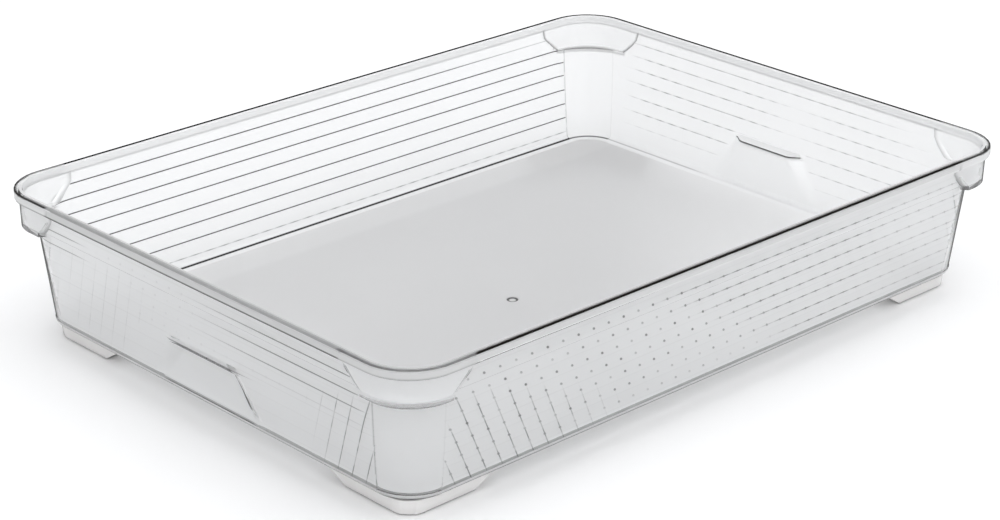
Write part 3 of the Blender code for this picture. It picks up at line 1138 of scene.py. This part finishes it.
def let_lamps_through(tree, shader):
    """Part of the lamps' light goes straight through, so that the plastic casts hardly any shadow."""
    see_through = add(tree, "ShaderNodeBsdfTransparent", Color=LAMP_SHARE)
    path = add(tree, "ShaderNodeLightPath")
    mix = add(tree, "ShaderNodeMixShader")
    tree.links.new(path.outputs["Is Shadow Ray"], mix.inputs[0])
    tree.links.new(shader.outputs[0], mix.inputs[1])
    tree.links.new(see_through.outputs[0], mix.inputs[2])
    tree.links.new(mix.outputs[0], tree.nodes["Material Output"].inputs["Surface"])


def floor_material():
    material = bpy.data.materials.new("studio_floor")
    material.use_nodes = True
    tree = material.node_tree
    shader = tree.nodes["Principled BSDF"]
    shader.inputs["Roughness"].default_value = 0.9
    shader.inputs["Specular IOR Level"].default_value = 0.0
    colour = mix_colour(tree, noise(tree, 3.0, 1.0), STUDIO_FLOOR, STUDIO_FLOOR_UNEVEN)
    tree.links.new(colour, shader.inputs["Base Color"])
    return material


def paint(obj, *materials):
    """Fills the material slots in order and keeps each face's slot."""
    slots = [face.material_index for face in obj.data.polygons]
    obj.data.materials.clear()
    for material in materials:
        obj.data.materials.append(material)
    obj.data.polygons.foreach_set("material_index", slots)


def add_camera():
    level = math.cos(CAMERA_ELEVATION)
    back = Vector((
        math.sin(CAMERA_AZIMUTH) * level,
        -math.cos(CAMERA_AZIMUTH) * level,
        math.sin(CAMERA_ELEVATION),
    ))
    bpy.ops.object.camera_add(location=Vector(CAMERA_TARGET) + back * CAMERA_DISTANCE)
    camera = bpy.context.active_object
    camera.name = "studio_camera"
    camera.rotation_euler = (-back).to_track_quat("-Z", "Y").to_euler()
    camera.rotation_euler.rotate_axis("Z", CAMERA_ROLL)
    camera.data.lens = CAMERA_LENS
    camera.data.sensor_width = CAMERA_SENSOR
    camera.data.shift_x, camera.data.shift_y = CAMERA_SHIFT
    camera.data.dof.use_dof = False
    camera.data.clip_start = 0.01
    camera.data.clip_end = 50.0
    bpy.context.scene.camera = camera
    return camera


def set_world(horizon, zenith):
    """A soft sky, brightest overhead and to the right, that falls off to a dim horizon."""
    world = bpy.data.worlds.new("studio_world")
    world.use_nodes = True
    tree = world.node_tree
    background = tree.nodes["Background"]
    background.inputs["Color"].default_value = SKY
    direction = axes_of(tree, "Generated")
    height = ramp_value(tree, direction["Z"], 0.30, 0.85, horizon, zenith)
    side = ramp_value(tree, direction["X"], -1.0, 1.0, 0.72, 1.38)
    tree.links.new(times(tree, height, side), background.inputs["Strength"])
    bpy.context.scene.world = world


class BIN_OT_tub(bpy.types.Operator):
    """Build the clear tub as one closed moulding"""

    bl_idname = "fridge_bin.tub"
    bl_label = "Build Tub"
    bl_options = {"REGISTER", "UNDO"}

    def execute(self, context):
        tub = build_tub(context.scene.fridge_bin)
        paint(
            tub,
            plastic("clear_plastic", CLEAR, CLOUDED, 0.0, 0.70),
            frosted("frosted_floor", FROSTED, FROSTED_UNEVEN, 0.6, FROSTED_PAINTED_LIGHT),
            frosted("rim_land", LAND, LAND_UNEVEN, 0.25),
            plastic("milky_inside", MILKY, MILKY_CLOUDED, 0.32, 0.84, 0.50),
        )
        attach(tub, "root")
        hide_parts("bin_tub")
        return {"FINISHED"}


class BIN_OT_feet(bpy.types.Operator):
    """Build one corner foot and copy it to the other corners"""

    bl_idname = "fridge_bin.feet"
    bl_label = "Build Feet"
    bl_options = {"REGISTER", "UNDO"}

    def execute(self, context):
        first = build_foot(context.scene.fridge_bin)
        first.name = "foot_pattern"
        material = plastic("foot_plastic", FOOT_CLEAR, FOOT_CLOUDED, 0.25, 0.84, 0.25, lined=False)
        for node, sign_x, sign_y in (
            ("foot_front_left", -1, -1),
            ("foot_front_right", 1, -1),
            ("foot_rear_left", -1, 1),
            ("foot_rear_right", 1, 1),
        ):
            foot = foot_copy(first, node + "_visual", sign_x, sign_y)
            paint(foot, material)
            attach(foot, "root")
            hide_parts(node)
        bpy.data.objects.remove(first, do_unlink=True)
        return {"FINISHED"}


class BIN_OT_stage(bpy.types.Operator):
    """Add the pale floor, the soft light and the camera"""

    bl_idname = "fridge_bin.stage"
    bl_label = "Build Stage"
    bl_options = {"REGISTER", "UNDO"}

    def execute(self, context):
        bpy.ops.object.select_all(action="DESELECT")
        bpy.ops.mesh.primitive_plane_add(size=8.0, location=(0, 0, -0.0002))
        floor = bpy.context.active_object
        floor.name = "studio_floor"
        paint(floor, floor_material())
        set_world(horizon=0.58, zenith=1.48)
        add_camera()
        context.scene.view_settings.view_transform = "Standard"
        return {"FINISHED"}


class BIN_PT_panel(bpy.types.Panel):
    """The bin's sizes and its build steps"""

    bl_idname = "BIN_PT_panel"
    bl_label = "Fridge Bin"
    bl_space_type = "VIEW_3D"
    bl_region_type = "UI"
    bl_category = "Fridge Bin"

    def draw(self, context):
        layout = self.layout
        sizes = context.scene.fridge_bin
        for name in ("length", "width", "height", "wall", "flute_pitch", "groove_depth", "foot_height"):
            layout.prop(sizes, name)
        for operator in (BIN_OT_tub, BIN_OT_feet, BIN_OT_stage):
            layout.operator(operator.bl_idname)


CLASSES = (BinSizes, BIN_OT_tub, BIN_OT_feet, BIN_OT_stage, BIN_PT_panel)


def register():
    for cls in CLASSES:
        bpy.utils.register_class(cls)
    bpy.types.Scene.fridge_bin = PointerProperty(type=BinSizes)


def unregister():
    del bpy.types.Scene.fridge_bin
    for cls in reversed(CLASSES):
        bpy.utils.unregister_class(cls)


def main():
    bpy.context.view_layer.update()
    register()
    bpy.ops.fridge_bin.tub()
    bpy.ops.fridge_bin.feet()
    bpy.ops.fridge_bin.stage()


if __name__ == "__main__":
    main()
